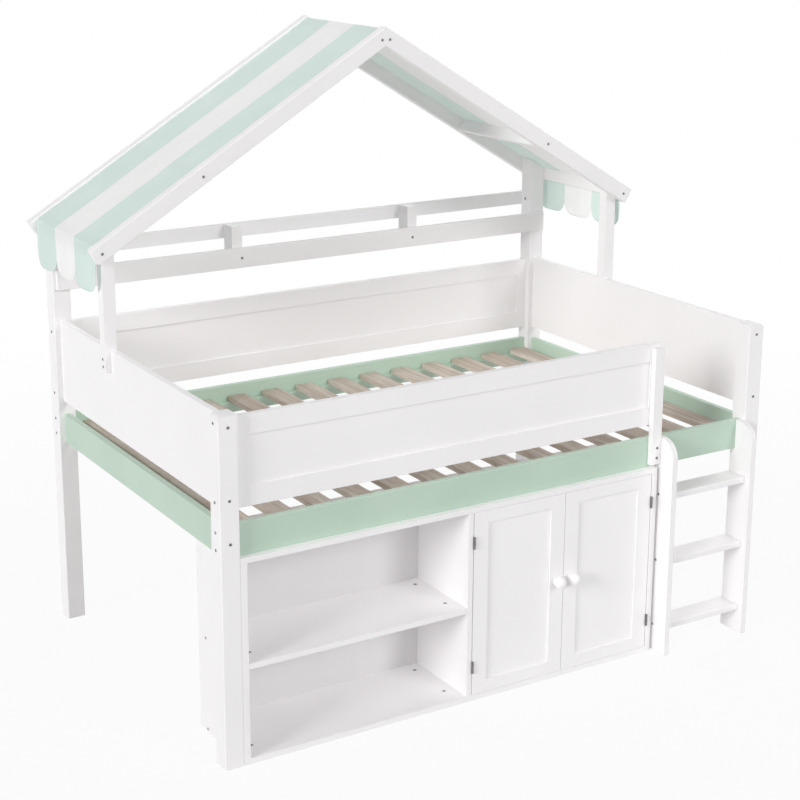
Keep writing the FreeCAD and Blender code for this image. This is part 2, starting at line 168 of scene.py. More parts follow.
# %% Group: coat tone
def make_coat_tone():
    tree, given, result = new_group(
        "coat_tone",
        [
            ("Position", "Vector", (0, 0, 0)),
            ("Patches per Metre", "Float", 4.0),
            ("Stipple per Metre", "Float", 500.0),
        ],
        [("Patches", "Float"), ("Stipple", "Float")],
    )
    patches = noise(tree, given["Position"], given["Patches per Metre"], detail=3.0)
    stipple = noise(tree, given["Position"], given["Stipple per Metre"], detail=1.0)
    tree.links.new(map_range(tree, patches, 0.3, 0.7, 0.0, 1.0), result["Patches"])
    tree.links.new(map_range(tree, stipple, 0.25, 0.75, 0.0, 1.0), result["Stipple"])
    return tree


coat_tone = make_coat_tone()
print("group:", coat_tone.name)

# %% [markdown]
# ## Shared effect: a painted highlight along the edges
# The painted boards are painted a little paler along their edges, as a painted highlight, and the edges
# also catch a line of light. The Bevel node gives the normal that a rounded edge would have. Where it
# differs from the true normal there is an edge, so the difference is the mask, and the rounded normal
# makes the line of light.

# %% Group: edge catch
def make_edge_catch():
    tree, given, result = new_group(
        "edge_catch",
        [("Radius", "Float", 0.0015)],
        [("Edge", "Float"), ("Normal", "Vector")],
    )
    rounded = add_node(tree, "ShaderNodeBevel", {"Radius": given["Radius"]}, samples=6).outputs[0]
    flat = add_node(tree, "ShaderNodeNewGeometry").outputs["True Normal"]
    agree = add_node(tree, "ShaderNodeVectorMath", {0: rounded, 1: flat}, operation="DOT_PRODUCT")
    tree.links.new(map_range(tree, agree.outputs["Value"], 0.72, 0.99, 1.0, 0.0), result["Edge"])
    tree.links.new(rounded, result["Normal"])
    return tree


edge_catch = make_edge_catch()
print("group:", edge_catch.name)

# %% [markdown]
# ## Finish: satin paint
# White and mint boards have the same satin paint in two colours. The grain has to run with each board,
# so the function makes one material for each direction. Colour comes from the patches and the edge mask,
# which pales the edges as a painted highlight, roughness from the stipple, and a weak bump from the grain
# and the stipple together.

# %% Paint
SQUEEZE = {"x": (0.05, 1, 1), "y": (1, 0.05, 1), "z": (1, 1, 0.05)}
# Each paint: thick coat, thin coat, and the paler colour of the painted edge highlight
PAINT_COLOURS = {
    "white_paint": ((0.875, 0.86, 0.868, 1), (0.9, 0.886, 0.893, 1), (0.92, 0.908, 0.914, 1)),
    "mint_paint": ((0.475, 0.608, 0.505, 1), (0.52, 0.652, 0.545, 1), (0.68, 0.785, 0.705, 1)),
}


def effect(tree, group, **inputs):
    """Place a shared effect in a material. Underscores stand for spaces in the socket names."""
    sockets = {name.replace("_", " "): value for name, value in inputs.items()}
    return add_node(tree, "ShaderNodeGroup", sockets, node_tree=group).outputs


def board_position(tree):
    """Place on the assembly, which stays with the board when a door swings."""
    return add_node(tree, "ShaderNodeTexCoord").outputs["Object"]


def paint(slot, along):
    material, tree, shader = new_material(slot + "_along_" + along)
    thick, thin, edge_highlight = PAINT_COLOURS[slot]
    place = board_position(tree)
    grain = effect(tree, board_grain, Position=place, Squeeze=SQUEEZE[along], Streaks_per_Metre=55.0)
    coat = effect(tree, coat_tone, Position=place, Patches_per_Metre=3.0, Stipple_per_Metre=420.0)
    edge = effect(tree, edge_catch, Radius=0.0016)
    body = mix_colour(tree, coat["Patches"], thick, thin)
    # Painted highlight: the edges are mixed towards the paler colour
    highlight_share = calc(tree, "MULTIPLY", edge["Edge"], 0.55)
    tree.links.new(mix_colour(tree, highlight_share, body, edge_highlight), shader["Base Color"])
    tree.links.new(map_range(tree, coat["Stipple"], 0.0, 1.0, 0.38, 0.48), shader["Roughness"])
    relief = calc(tree, "ADD", calc(tree, "MULTIPLY", grain["Streaks"], 0.6), coat["Stipple"])
    bump = {"Height": relief, "Normal": edge["Normal"], "Strength": 0.1, "Distance": 0.0004}
    tree.links.new(add_node(tree, "ShaderNodeBump", bump).outputs[0], shader["Normal"])
    shader["Specular IOR Level"].default_value = 0.4
    return material


finishes = {(slot, along): paint(slot, along) for slot in PAINT_COLOURS for along in SQUEEZE}
print("paints:", [material.name for material in finishes.values()])

# %% [markdown]
# ## Finish: bare slat wood
# The slats are planed softwood and nobody paints them. Each one is cut from another plank, so each has
# its own tone. All slats share one object, so the tone comes from counting slats along the bed: the place
# is divided by the spacing and rounded down, and the count is turned into a random but fixed value.

# %% Bare wood
SLAT_COUNT = 14
DARK_PLANK, PALE_PLANK = (0.72, 0.63, 0.55, 1), (0.82, 0.75, 0.67, 1)
LATE_WOOD, PORE, RUBBED_EDGE = (0.58, 0.47, 0.39, 1), (0.36, 0.27, 0.215, 1), (0.72, 0.62, 0.54, 1)
slats_low, slats_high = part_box("slats")


def bare_wood(along):
    material, tree, shader = new_material("bare_slat_wood_along_" + along)
    place = board_position(tree)
    grain = effect(tree, board_grain, Position=place, Squeeze=SQUEEZE[along], Streaks_per_Metre=38.0)
    coat = effect(tree, coat_tone, Position=place, Patches_per_Metre=6.0, Stipple_per_Metre=700.0)
    edge = effect(tree, edge_catch, Radius=0.002)
    across_bed = add_node(tree, "ShaderNodeSeparateXYZ", {0: place}).outputs["X"]
    spacing = (slats_high.x - slats_low.x) / SLAT_COUNT
    from_first = calc(tree, "SUBTRACT", across_bed, slats_low.x)
    count = calc(tree, "FLOOR", calc(tree, "DIVIDE", from_first, spacing))
    plank = add_node(tree, "ShaderNodeTexWhiteNoise", {"W": count}, noise_dimensions="1D")
    early_wood = mix_colour(tree, plank.outputs["Value"], DARK_PLANK, PALE_PLANK)
    streaked = mix_colour(tree, grain["Streaks"], LATE_WOOD, early_wood)
    porous = calc(tree, "MULTIPLY", grain["Pores"], 0.3)
    planed = mix_colour(tree, porous, streaked, PORE)
    rubbed = calc(tree, "MULTIPLY", edge["Edge"], 0.3)
    tree.links.new(mix_colour(tree, rubbed, planed, RUBBED_EDGE), shader["Base Color"])
    tree.links.new(map_range(tree, grain["Streaks"], 0.0, 1.0, 0.72, 0.58), shader["Roughness"])
    relief = calc(tree, "ADD", grain["Streaks"], calc(tree, "MULTIPLY", coat["Stipple"], 0.3))
    bump = {"Height": relief, "Normal": edge["Normal"], "Strength": 0.25, "Distance": 0.0006}
    tree.links.new(add_node(tree, "ShaderNodeBump", bump).outputs[0], shader["Normal"])
    shader["Specular IOR Level"].default_value = 0.25
    return material


for along in ("x", "y"):
    finishes["bare_slat_wood", along] = bare_wood(along)
print("slats:", SLAT_COUNT, "from", round(slats_low.x, 3), "to", round(slats_high.x, 3))

# %% [markdown]
# ## Shared effect: drawn metal
# Hinges are pressed from rolled strip and bolts are turned from rod, so both have fine lines and a few
# duller smudges. The lines are a cloud texture squeezed in one direction, like the grain of a board but
# far finer. The same group serves both metals, with their own sizes.

# %% Group: drawn metal, and the metals
def make_drawn_metal():
    tree, given, result = new_group(
        "drawn_metal",
        [
            ("Position", "Vector", (0, 0, 0)),
            ("Squeeze", "Vector", (1, 1, 0.05)),
            ("Lines per Metre", "Float", 2500.0),
        ],
        [("Lines", "Float"), ("Smudge", "Float")],
    )
    multiply = {0: given["Position"], 1: given["Squeeze"]}
    along = add_node(tree, "ShaderNodeVectorMath", multiply, operation="MULTIPLY").outputs[0]
    lines = noise(tree, along, given["Lines per Metre"], detail=2.0)
    smudge = noise(tree, given["Position"], 90.0, detail=2.0)
    tree.links.new(map_range(tree, lines, 0.3, 0.7, 0.0, 1.0), result["Lines"])
    tree.links.new(map_range(tree, smudge, 0.4, 0.7, 0.0, 1.0), result["Smudge"])
    return tree


drawn_metal = make_drawn_metal()
UPRIGHT_LINES, EVEN_MARKS = (1, 1, 0.05), (1, 1, 1)


def metal(name, bright, dull, squeeze, lines_per_metre):
    material, tree, shader = new_material(name)
    place = board_position(tree)
    marks = effect(tree, drawn_metal, Position=place, Squeeze=squeeze, Lines_per_Metre=lines_per_metre)
    tree.links.new(mix_colour(tree, marks["Smudge"], bright, dull), shader["Base Color"])
    tree.links.new(map_range(tree, marks["Lines"], 0.0, 1.0, 0.28, 0.45), shader["Roughness"])
    bump = {"Height": marks["Lines"], "Strength": 0.08, "Distance": 0.0001}
    tree.links.new(add_node(tree, "ShaderNodeBump", bump).outputs[0], shader["Normal"])
    shader["Metallic"].default_value = 1.0
    return material


hinge_steel = metal("hinge_steel", (0.24, 0.24, 0.24, 1), (0.17, 0.17, 0.17, 1), UPRIGHT_LINES, 2500.0)
bolt_steel = metal("bolt_steel", (0.46, 0.46, 0.465, 1), (0.36, 0.36, 0.365, 1), EVEN_MARKS, 1800.0)
zinc = metal("cam_lock_zinc", (0.62, 0.62, 0.61, 1), (0.5, 0.5, 0.5, 1), EVEN_MARKS, 1500.0)
print("metals:", hinge_steel.name, bolt_steel.name, zinc.name)

# %% [markdown]
# ## Finish: moulded plastic and dark sockets
# The door catch is a small white moulding with a fine spark texture. The sockets of the bolts are only
# dark because little light gets in, but at this size a dark rough finish does the same with less light
# to trace. Both use the coat tone group for their small unevenness.

# %% Plastic and socket finishes
def moulded(name, low, high, stipple_per_metre, roughness):
    material, tree, shader = new_material(name)
    place = board_position(tree)
    coat = effect(
        tree, coat_tone, Position=place, Patches_per_Metre=20.0, Stipple_per_Metre=stipple_per_metre
    )
    tree.links.new(mix_colour(tree, coat["Patches"], low, high), shader["Base Color"])
    tree.links.new(
        map_range(tree, coat["Stipple"], 0.0, 1.0, roughness - 0.06, roughness + 0.06),
        shader["Roughness"],
    )
    bump = {"Height": coat["Stipple"], "Strength": 0.2, "Distance": 0.0002}
    tree.links.new(add_node(tree, "ShaderNodeBump", bump).outputs[0], shader["Normal"])
    return material


catch_plastic = moulded("catch_plastic", (0.76, 0.76, 0.76, 1), (0.82, 0.82, 0.82, 1), 1500.0, 0.5)
socket_dark = moulded("bolt_socket", (0.02, 0.02, 0.022, 1), (0.04, 0.04, 0.042, 1), 900.0, 0.7)
print("small finishes:", catch_plastic.name, socket_dark.name)

# %% [markdown]
# ## Give every board its finish
# The record says which finish each board has. The direction of its grain is the long way of its box,
# apart from groups of boards laid side by side, where the box is longer the other way. Those are named
# by what they are: stiles stand up, rails lie across, and slats and battens run from front to back.

# %% Dress the boards
def long_way(node):
    """The axis that the board's grain runs along."""
    if node.endswith("_stiles") or node == "back_guard_spacers":
        return "z"
    if node.endswith("_rails"):
        return "x"
    if node == "slats" or node.endswith("_battens"):
        return "y"
    low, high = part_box(node)
    size = high - low
    return "xyz"[max(range(3), key=lambda axis: size[axis])]


def dress(node):
    slot = slot_of[node]
    if slot == "hinge_steel":
        finish = hinge_steel
    elif slot == "catch_plastic":
        finish = catch_plastic
    elif slot == "canopy_fabric":
        return
    else:
        finish = finishes[slot, long_way(node)]
    mesh = nodes[node].data
    mesh.materials.clear()
    mesh.materials.append(finish)


for node in nodes:
    dress(node)
print("dressed:", sum(1 for thing in nodes.values() if thing.data.materials))

# %% [markdown]
# ## The canopy's section
# The canopy is one strip of striped cotton. It runs up one slope, over the ridge, down the other slope
# and hangs below the eaves as a valance. The section follows the roof line a few millimetres below the
# rafters' top edges, with small round folds at the ridge and the eaves. It is worked out from the boxes
# of the rafters, the battens and the space kept for the canopy.

# %% Canopy section
ROOF_PITCH = math.radians(31)
SHEET_DROP = 0.005
RIDGE_FOLD = 0.007
EAVE_FOLD = 0.005
BAY_SAG = 0.003
VALANCE_INSET = 0.001
SLOPE_STEPS, FOLD_STEPS = 34, 5

canopy_low, canopy_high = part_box("canopy")
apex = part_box("rafter_front_left")[1].z
valance_x = canopy_high.x - VALANCE_INSET
eave_fold_height = apex - valance_x * math.tan(ROOF_PITCH) - SHEET_DROP / math.cos(ROOF_PITCH)
valance_drop = eave_fold_height - canopy_low.z
mid_batten_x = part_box("mid_battens")[1].x


def slope_height(x):
    """Height of the sheet over one slope, with the slack between the battens."""
    straight = apex - x * math.tan(ROOF_PITCH) - SHEET_DROP / math.cos(ROOF_PITCH)
    if x < mid_batten_x:
        share = x / mid_batten_x
        sag = BAY_SAG
    else:
        share = (x - mid_batten_x) / (valance_x - mid_batten_x)
        sag = BAY_SAG / 2
    return straight - sag * 4 * share * (1 - share)


def fold_point(corner, first, second, radius, share):
    """A point of the small arc that rounds a fold, between the directions of its two sides."""
    turn = first.angle(second)
    reach = radius / math.tan(turn / 2)
    centre = corner + (first + second).normalized() * (radius / math.sin(turn / 2))
    start = corner + first * reach - centre
    finish = corner + second * reach - centre
    return centre + radius * (start * (1 - share) + finish * share).normalized()


def half_section():
    """Points (x, z) of the right half, from the ridge to the top of the valance."""
    down = Vector((math.cos(ROOF_PITCH), -math.sin(ROOF_PITCH)))
    mirror = Vector((-down.x, down.y))
    ridge = Vector((0, slope_height(0)))
    eave = Vector((valance_x, slope_height(valance_x)))
    shares = [0.5 + 0.5 * step / FOLD_STEPS for step in range(FOLD_STEPS + 1)]
    points = [fold_point(ridge, mirror, down, RIDGE_FOLD, share) for share in shares]
    start = points[-1].x
    plumb = Vector((0, -1))
    shares = [step / FOLD_STEPS for step in range(FOLD_STEPS + 1)]
    fold = [fold_point(eave, -down, plumb, EAVE_FOLD, share) for share in shares]
    for step in range(1, SLOPE_STEPS):
        x = start + (fold[0].x - start) * step / SLOPE_STEPS
        points.append(Vector((x, slope_height(x))))
    return points + fold


section = half_section()
slope_length = sum((b - a).length for a, b in zip(section, section[1:]))
print("slope:", round(slope_length, 3), "m, valance:", round(valance_drop, 3), "m")

# %% [markdown]
# ## Sewing the canopy
# The mesh is a grid. Columns run from front to back and are closer together at the notches of the
# valance, where the cut turns fast. Rows run along the strip. In the valance the rows are measured from
# the scalloped edge, so that the last ten millimetres are the hem all the way round each scallop. A
# Solidify modifier gives the cloth its thickness, and twice as much in the hem, where it is folded over.

# %% Canopy mesh
SCALLOPS = 3
SCALLOP_CORNER = 0.054
HEM = 0.010
HEM_STEP = 0.001
CLOTH = 0.0008
COLUMNS_PER_SCALLOP, VALANCE_ROWS = 16, 9
RIPPLE_DEPTH = 0.0009
LONG_RIPPLE, SHORT_RIPPLE = 21, 47
CURL_DEPTH, SWAY_DEPTH, HANG_BACK = 0.0045, 0.0015, 0.001
sheet_width = canopy_high.y - canopy_low.y
scallop_width = sheet_width / SCALLOPS


def columns():
    """Distances from the front edge, close together at the edges of each scallop."""
    places = []
    for scallop in range(SCALLOPS):
        for step in range(COLUMNS_PER_SCALLOP):
            share = (1 - math.cos(math.pi * step / COLUMNS_PER_SCALLOP)) / 2
            places.append((scallop + share) * scallop_width)
    places.append(sheet_width)
    for edge in (HEM - HEM_STEP, HEM):
        places += [edge, sheet_width - edge]
    return sorted(places)


def scallop_rise(across):
    """How far the cut edge rises above the lowest line of the valance."""
    from_middle = abs((across % scallop_width) - scallop_width / 2)
    into_corner = from_middle - (scallop_width / 2 - SCALLOP_CORNER)
    if into_corner <= 0:
        return 0.0
    return SCALLOP_CORNER - math.sqrt(max(SCALLOP_CORNER**2 - into_corner**2, 0))


def slope_ripple(across, along):
    """Slack of the cloth over the slope, still at the battens and the ridge."""
    wave = math.sin(along * LONG_RIPPLE + 1.5 * math.sin(across * 11))
    wave += 0.6 * math.sin(along * SHORT_RIPPLE + across * 19)
    bay = abs(math.sin(math.pi * along / slope_length * 2))
    return -RIPPLE_DEPTH * bay * (1 + wave / 1.6)


def valance_curl(across, share, side):
    """How far the valance stands off the eave, more towards its free edge."""
    middle = math.sin(math.pi * (across % scallop_width) / scallop_width)
    sway = math.sin(across * 17 + side)
    return share**1.6 * (CURL_DEPTH * middle + SWAY_DEPTH * sway - HANG_BACK)


def canopy_rows(across, side):
    """Points (x, z) and distance along the strip, from ridge to hem."""
    rows = []
    along = 0.0
    for index, point in enumerate(section):
        if index:
            along += (point - section[index - 1]).length
        on_slope = index < len(section) - FOLD_STEPS - 1
        lift = slope_ripple(across, along) if on_slope else 0.0
        rows.append((point.x, point.y + lift, along))
    top = section[-1].y
    bottom = canopy_low.z + scallop_rise(across)
    hem_top = bottom + HEM
    heights = [top + (hem_top - top) * row / VALANCE_ROWS for row in range(1, VALANCE_ROWS + 1)]
    heights += [hem_top - HEM_STEP, bottom]
    for height in heights:
        share = (top - height) / (top - canopy_low.z)
        rows.append((section[-1].x + valance_curl(across, share, side), height, along + top - height))
    return [(side * x, z, side * length) for x, z, length in rows]


def sew_canopy():
    places = columns()
    strips = []
    for across in places:
        left = canopy_rows(across, -1)
        right = canopy_rows(across, 1)
        strips.append(list(reversed(left)) + right[1:])
    builder = bmesh.new()
    cloth_map = builder.loops.layers.uv.new("cut")
    hem_layer = builder.verts.layers.deform.verify()
    edge_layer = builder.verts.layers.float.new("from_cut_edge")
    grid = []
    for across, strip in zip(places, strips):
        from_side = min(across, sheet_width - across)
        line = []
        for x, z, along in strip:
            point = builder.verts.new((x, canopy_low.y + across, z))
            from_end = min(along - strip[0][2], strip[-1][2] - along)
            point[edge_layer] = min(from_side, from_end)
            point[hem_layer][0] = 1.0 if point[edge_layer] < HEM - HEM_STEP / 2 else 0.0
            line.append(point)
        grid.append(line)
    for column in range(len(places) - 1):
        for row in range(len(strips[0]) - 1):
            corners = [(column, row), (column + 1, row), (column + 1, row + 1), (column, row + 1)]
            face = builder.faces.new([grid[c][r] for c, r in corners])
            face.smooth = True
            for loop, (c, r) in zip(face.loops, corners):
                loop[cloth_map].uv = (places[c], strips[c][r][2])
    builder.normal_update()
    mesh = bpy.data.meshes.new("canopy_cloth")
    cut_area = sum(face.calc_area() for face in builder.faces)
    builder.to_mesh(mesh)
    builder.free()
    cloth = bpy.data.objects.new("canopy_cloth", mesh)
    bpy.context.collection.objects.link(cloth)
    cloth.vertex_groups.new(name="hem")
    thick = cloth.modifiers.new("cloth thickness", "SOLIDIFY")
    thick.thickness = 2 * CLOTH
    thick.offset = 0
    thick.vertex_group = "hem"
    thick.thickness_vertex_group = 0.5
    return cloth, cut_area


canopy_cloth, cut_area = sew_canopy()

# %% [markdown]
# ## Finish: woven cotton
# Close up, the cloth is a plain weave of two sets of threads. The weave is two waves along the cut's own
# width and length, stored as a UV map in metres, so the threads follow the cloth over the folds. The
# stripes are dyed threads: a count of stripe widths, odd or even. A row of stitches runs inside the hem.
# It is a narrow band of the distance from the cut edge, which the mesh keeps as an attribute, broken into
# dashes along the cloth. Thin cotton lets light through, and some subsurface scattering gives that glow.

# %% Group: plain weave, and the canopy's finish
THREADS_PER_METRE = 900.0
STITCHES_PER_METRE = 240.0
STITCH_LINE = 0.008
STITCH_HALF_WIDTH = 0.0007
STITCH_SHARE = 0.7
MINT_DYE = ((0.61, 0.74, 0.69, 1), (0.65, 0.77, 0.725, 1))
WHITE_COTTON = ((0.88, 0.88, 0.876, 1), (0.91, 0.91, 0.905, 1))
SLUB_SHADE, SEWING_THREAD = (0.45, 0.55, 0.5, 1), (0.8, 0.82, 0.8, 1)


def make_plain_weave():
    tree, given, result = new_group(
        "plain_weave",
        [("Cut", "Vector", (0, 0, 0)), ("Threads per Metre", "Float", THREADS_PER_METRE)],
        [("Thread", "Float"), ("Slub", "Float")],
    )
    split = add_node(tree, "ShaderNodeSeparateXYZ", {0: given["Cut"]}).outputs
    turns = calc(tree, "MULTIPLY", given["Threads per Metre"], math.pi)
    warp = calc(tree, "SINE", calc(tree, "MULTIPLY", split["X"], turns))
    weft = calc(tree, "SINE", calc(tree, "MULTIPLY", split["Y"], turns))
    woven = calc(tree, "MULTIPLY", warp, weft)
    squeezed = add_node(
        tree, "ShaderNodeVectorMath", {0: given["Cut"], 1: (1, 0.04, 1)}, operation="MULTIPLY"
    ).outputs[0]
    slub = noise(tree, squeezed, 160.0, detail=3.0)
    tree.links.new(map_range(tree, woven, -1.0, 1.0, 0.0, 1.0), result["Thread"])
    tree.links.new(map_range(tree, slub, 0.3, 0.7, 0.0, 1.0), result["Slub"])
    return tree


plain_weave = make_plain_weave()


def hem_stitches(tree, cut):
    """One where a stitch lies: on a line inside the cut edge, in dashes."""
    from_edge = add_node(tree, "ShaderNodeAttribute", attribute_name="from_cut_edge").outputs["Fac"]
    off_line = calc(tree, "ABSOLUTE", calc(tree, "SUBTRACT", from_edge, STITCH_LINE))
    on_line = calc(tree, "LESS_THAN", off_line, STITCH_HALF_WIDTH)
    split = add_node(tree, "ShaderNodeSeparateXYZ", {0: cut}).outputs
    along = calc(tree, "MULTIPLY", calc(tree, "ADD", split["X"], split["Y"]), STITCHES_PER_METRE)
    dash = calc(tree, "LESS_THAN", calc(tree, "FRACT", along), STITCH_SHARE)
    return calc(tree, "MULTIPLY", on_line, dash)


def striped_cotton():
    material, tree, shader = new_material("striped_cotton")
    cut = add_node(tree, "ShaderNodeUVMap", uv_map="cut").outputs[0]
    weave = effect(tree, plain_weave, Cut=cut, Threads_per_Metre=THREADS_PER_METRE)
    coat = effect(tree, coat_tone, Position=cut, Patches_per_Metre=5.0, Stipple_per_Metre=300.0)
    width = add_node(tree, "ShaderNodeSeparateXYZ", {0: cut}).outputs["X"]
    stripe = calc(tree, "FLOOR", calc(tree, "DIVIDE", width, scallop_width))
    white_stripe = calc(tree, "MODULO", stripe, 2.0)
    mint = mix_colour(tree, coat["Patches"], *MINT_DYE)
    white = mix_colour(tree, coat["Patches"], *WHITE_COTTON)
    dyed = mix_colour(tree, white_stripe, mint, white)
    shade = calc(tree, "MULTIPLY", weave["Slub"], 0.12)
    slubbed = mix_colour(tree, shade, dyed, SLUB_SHADE)
    stitches = hem_stitches(tree, cut)
    tree.links.new(mix_colour(tree, stitches, slubbed, SEWING_THREAD), shader["Base Color"])
    tree.links.new(map_range(tree, weave["Thread"], 0.0, 1.0, 0.92, 0.8), shader["Roughness"])
    relief = calc(tree, "ADD", calc(tree, "ADD", weave["Thread"], weave["Slub"]), stitches)
    bump = {"Height": relief, "Strength": 0.2, "Distance": 0.0003}
    tree.links.new(add_node(tree, "ShaderNodeBump", bump).outputs[0], shader["Normal"])
    shader["Sheen Weight"].default_value = 0.15
    shader["Subsurface Weight"].default_value = 0.5
    shader["Subsurface Radius"].default_value = (1, 1, 1)
    shader["Subsurface Scale"].default_value = 0.003
    shader["Specular IOR Level"].default_value = 0.2
    return material


canopy_cloth.data.materials.append(striped_cotton())
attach(canopy_cloth, "frame")
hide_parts("canopy")
print("canopy hung:", len(canopy_cloth.data.polygons), "faces")

# %% [markdown]
# ## Turned pieces
# Knobs, bolts and locks are all turned on a lathe or headed in a round die, so one helper makes them: it
# spins a profile of radii and heights round an axis. A bolt's socket is six-sided, so a profile point can
# ask for a hexagon instead of a circle. Many pieces of one kind go into one mesh.

# %% Lathe helper
CIRCLE, HEXAGON = "circle", "hexagon"
SHARP_EDGE = math.radians(40)


def rim(shape, radius, turn):
    """Distance from the axis at one angle. A hexagon is measured across its flats."""
    if shape == CIRCLE:
        return radius
    sixth = math.pi / 3
    return radius / math.cos((turn % sixth) - sixth / 2)


def turned_group(name, profile, places, finish, recess_finish=None, recess_from=None, segments=24):
    """One object with a turned piece at each place, given as a point and the way that it faces."""
    builder = bmesh.new()
    for point, facing in places:
        stand = facing.to_track_quat("Z", "Y")
        rings = []
        for shape, radius, height in profile:
            ring = []
            for step in range(segments if radius else 1):
                turn = math.tau * step / segments
                reach = rim(shape, radius, turn)
                local = Vector((reach * math.cos(turn), reach * math.sin(turn), height))
                ring.append(builder.verts.new(point + stand @ local))
            rings.append(ring)
        for index, (outer, inner) in enumerate(zip(rings, rings[1:])):
            for step in range(segments):
                after = (step + 1) % segments
                corners = [outer[step], outer[after]]
                corners += [inner[0]] if len(inner) == 1 else [inner[after], inner[step]]
                face = builder.faces.new(corners)
                face.smooth = True
                if recess_finish:
                    face.material_index = int(index >= recess_from)
    mesh = bpy.data.meshes.new(name)
    builder.to_mesh(mesh)
    builder.free()
    mesh.materials.append(finish)
    if recess_finish:
        mesh.materials.append(recess_finish)
    mesh.set_sharp_from_angle(angle=SHARP_EDGE)
    group = bpy.data.objects.new(name, mesh)
    bpy.context.collection.objects.link(group)
    return group


print("lathe ready")

# %% [markdown]
# ## Door knobs
# Each door has a painted ball knob on a short neck with a small flare where it meets the door. The
# assembly keeps a plain stepped ball there. A smooth one is turned in the same space, from the size of
# that ball's box, and takes its place.

# %% Knobs
KNOB_NECK = 0.009
KNOB_FLARE = 0.0115
FLARE_HEIGHT, NECK_HEIGHT = 0.0012, 0.0024
KNOB_STEPS, KNOB_SEGMENTS = 22, 40


def knob_profile(ball_radius, reach):
    """Flared foot, neck and ball, from the door's face outwards."""
    centre = reach - ball_radius
    neck_turn = math.asin(KNOB_NECK / ball_radius)
    profile = [
        (CIRCLE, KNOB_FLARE, 0.0),
        (CIRCLE, KNOB_FLARE, FLARE_HEIGHT),
        (CIRCLE, KNOB_NECK, NECK_HEIGHT),
    ]
    for step in range(KNOB_STEPS):
        turn = neck_turn + (math.pi - neck_turn) * step / KNOB_STEPS
        profile.append((CIRCLE, ball_radius * math.sin(turn), centre - ball_radius * math.cos(turn)))
    return profile + [(CIRCLE, 0.0, reach)]


def turn_knob(door):
    low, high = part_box(door + "_knob")
    ball_radius = (high.x - low.x) / 2
    base = Vector(((low.x + high.x) / 2, high.y, (low.z + high.z) / 2))
    profile = knob_profile(ball_radius, high.y - low.y)
    places = [(base, Vector((0, -1, 0)))]
    finish = finishes["white_paint", "y"]
    knob = turned_group(door + "_ball_knob", profile, places, finish, segments=KNOB_SEGMENTS)
    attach(knob, door)
    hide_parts(door + "_knob")
    return knob


for door in ("door_left", "door_right"):
    knob = turn_knob(door)
    print(knob.name, len(knob.data.polygons), "faces")

# %% [markdown]
# ## Bolt heads
# The frame comes apart for the lorry, so every corner is bolted. The heads are thin discs with a hexagon
# socket. Their places follow the boards they hold: at the middle of a board's thickness, and some way in
# from its edges. A list of point and facing pairs is enough for the lathe helper.

# %% Bolt head helper and the corner posts
BOLT_HEAD = [
    (CIRCLE, 0.0055, 0.0),
    (CIRCLE, 0.0055, 0.0009),
    (CIRCLE, 0.0049, 0.0014),
    (HEXAGON, 0.0028, 0.0014),
    (HEXAGON, 0.0026, 0.0003),
    (CIRCLE, 0.0, 0.0001),
]
BOLT_SOCKET_FROM = 3
LEFT, RIGHT = Vector((-1, 0, 0)), Vector((1, 0, 0))
FRONT, BACK = Vector((0, -1, 0)), Vector((0, 1, 0))
UP = Vector((0, 0, 1))
RAIL_BOLT_INSETS = (0.029, 0.020)
FRONT_GUARD_BOLT_INSETS = (0.027, 0.013)
BACK_PANEL_BOLT_INSETS = (0.027, 0.032)
END_PANEL_BOLT_INSETS = (0.035, 0.033)
END_RAIL_BOLT_RISE = 0.051


def set_bolts(name, places, finish=bolt_steel):
    bolts = turned_group(name, BOLT_HEAD, places, finish, socket_dark, BOLT_SOCKET_FROM)
    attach(bolts, "frame")
    print(name, len(places))


def middle(node):
    low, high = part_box(node)
    return (low + high) / 2


def two_heights(node, insets):
    """Heights of a pair of bolts, set in from the lower and the upper edge of a board."""
    low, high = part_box(node)
    return [low.z + insets[0], high.z - insets[1]]


rail_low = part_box("rail_front")[0]
panel_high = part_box("end_panel_left")[1]
post_faces = {"left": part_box("post_front_left")[0].x, "right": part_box("post_front_right")[1].x}
front_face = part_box("post_front_left")[0].y
back_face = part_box("post_back_left")[1].y
rail_bolts = two_heights("rail_front", RAIL_BOLT_INSETS)
front_guard_bolts = two_heights("front_guard_stiles", FRONT_GUARD_BOLT_INSETS)
back_panel_bolts = two_heights("front_guard_stiles", BACK_PANEL_BOLT_INSETS)
end_bolts = [rail_low.z + END_RAIL_BOLT_RISE, *two_heights("end_panel_left", END_PANEL_BOLT_INSETS)]

corner_bolts = []
for side, facing in (("left", LEFT), ("right", RIGHT)):
    outer = post_faces[side]
    front_heights = rail_bolts + (front_guard_bolts if side == "left" else [])
    for height in front_heights:
        corner_bolts.append((Vector((outer, middle("rail_front").y, height)), facing))
    for height in rail_bolts + back_panel_bolts:
        corner_bolts.append((Vector((outer, middle("rail_back").y, height)), facing))
    end_middle = middle("rail_" + side).x
    for height in end_bolts:
        corner_bolts.append((Vector((end_middle, front_face, height)), FRONT))
        corner_bolts.append((Vector((end_middle, back_face, height)), BACK))
set_bolts("corner_bolt_heads", corner_bolts)

# %% [markdown]
# ## Bolts of the guards and the roof
# The guard post is held on the front rail by two bolts. The two back guard rails are bolted through the
# spacers. At the roof, bolts go through the rafters into the ridge, the battens and the eaves, and the
# front roof posts are bolted through the end panels.

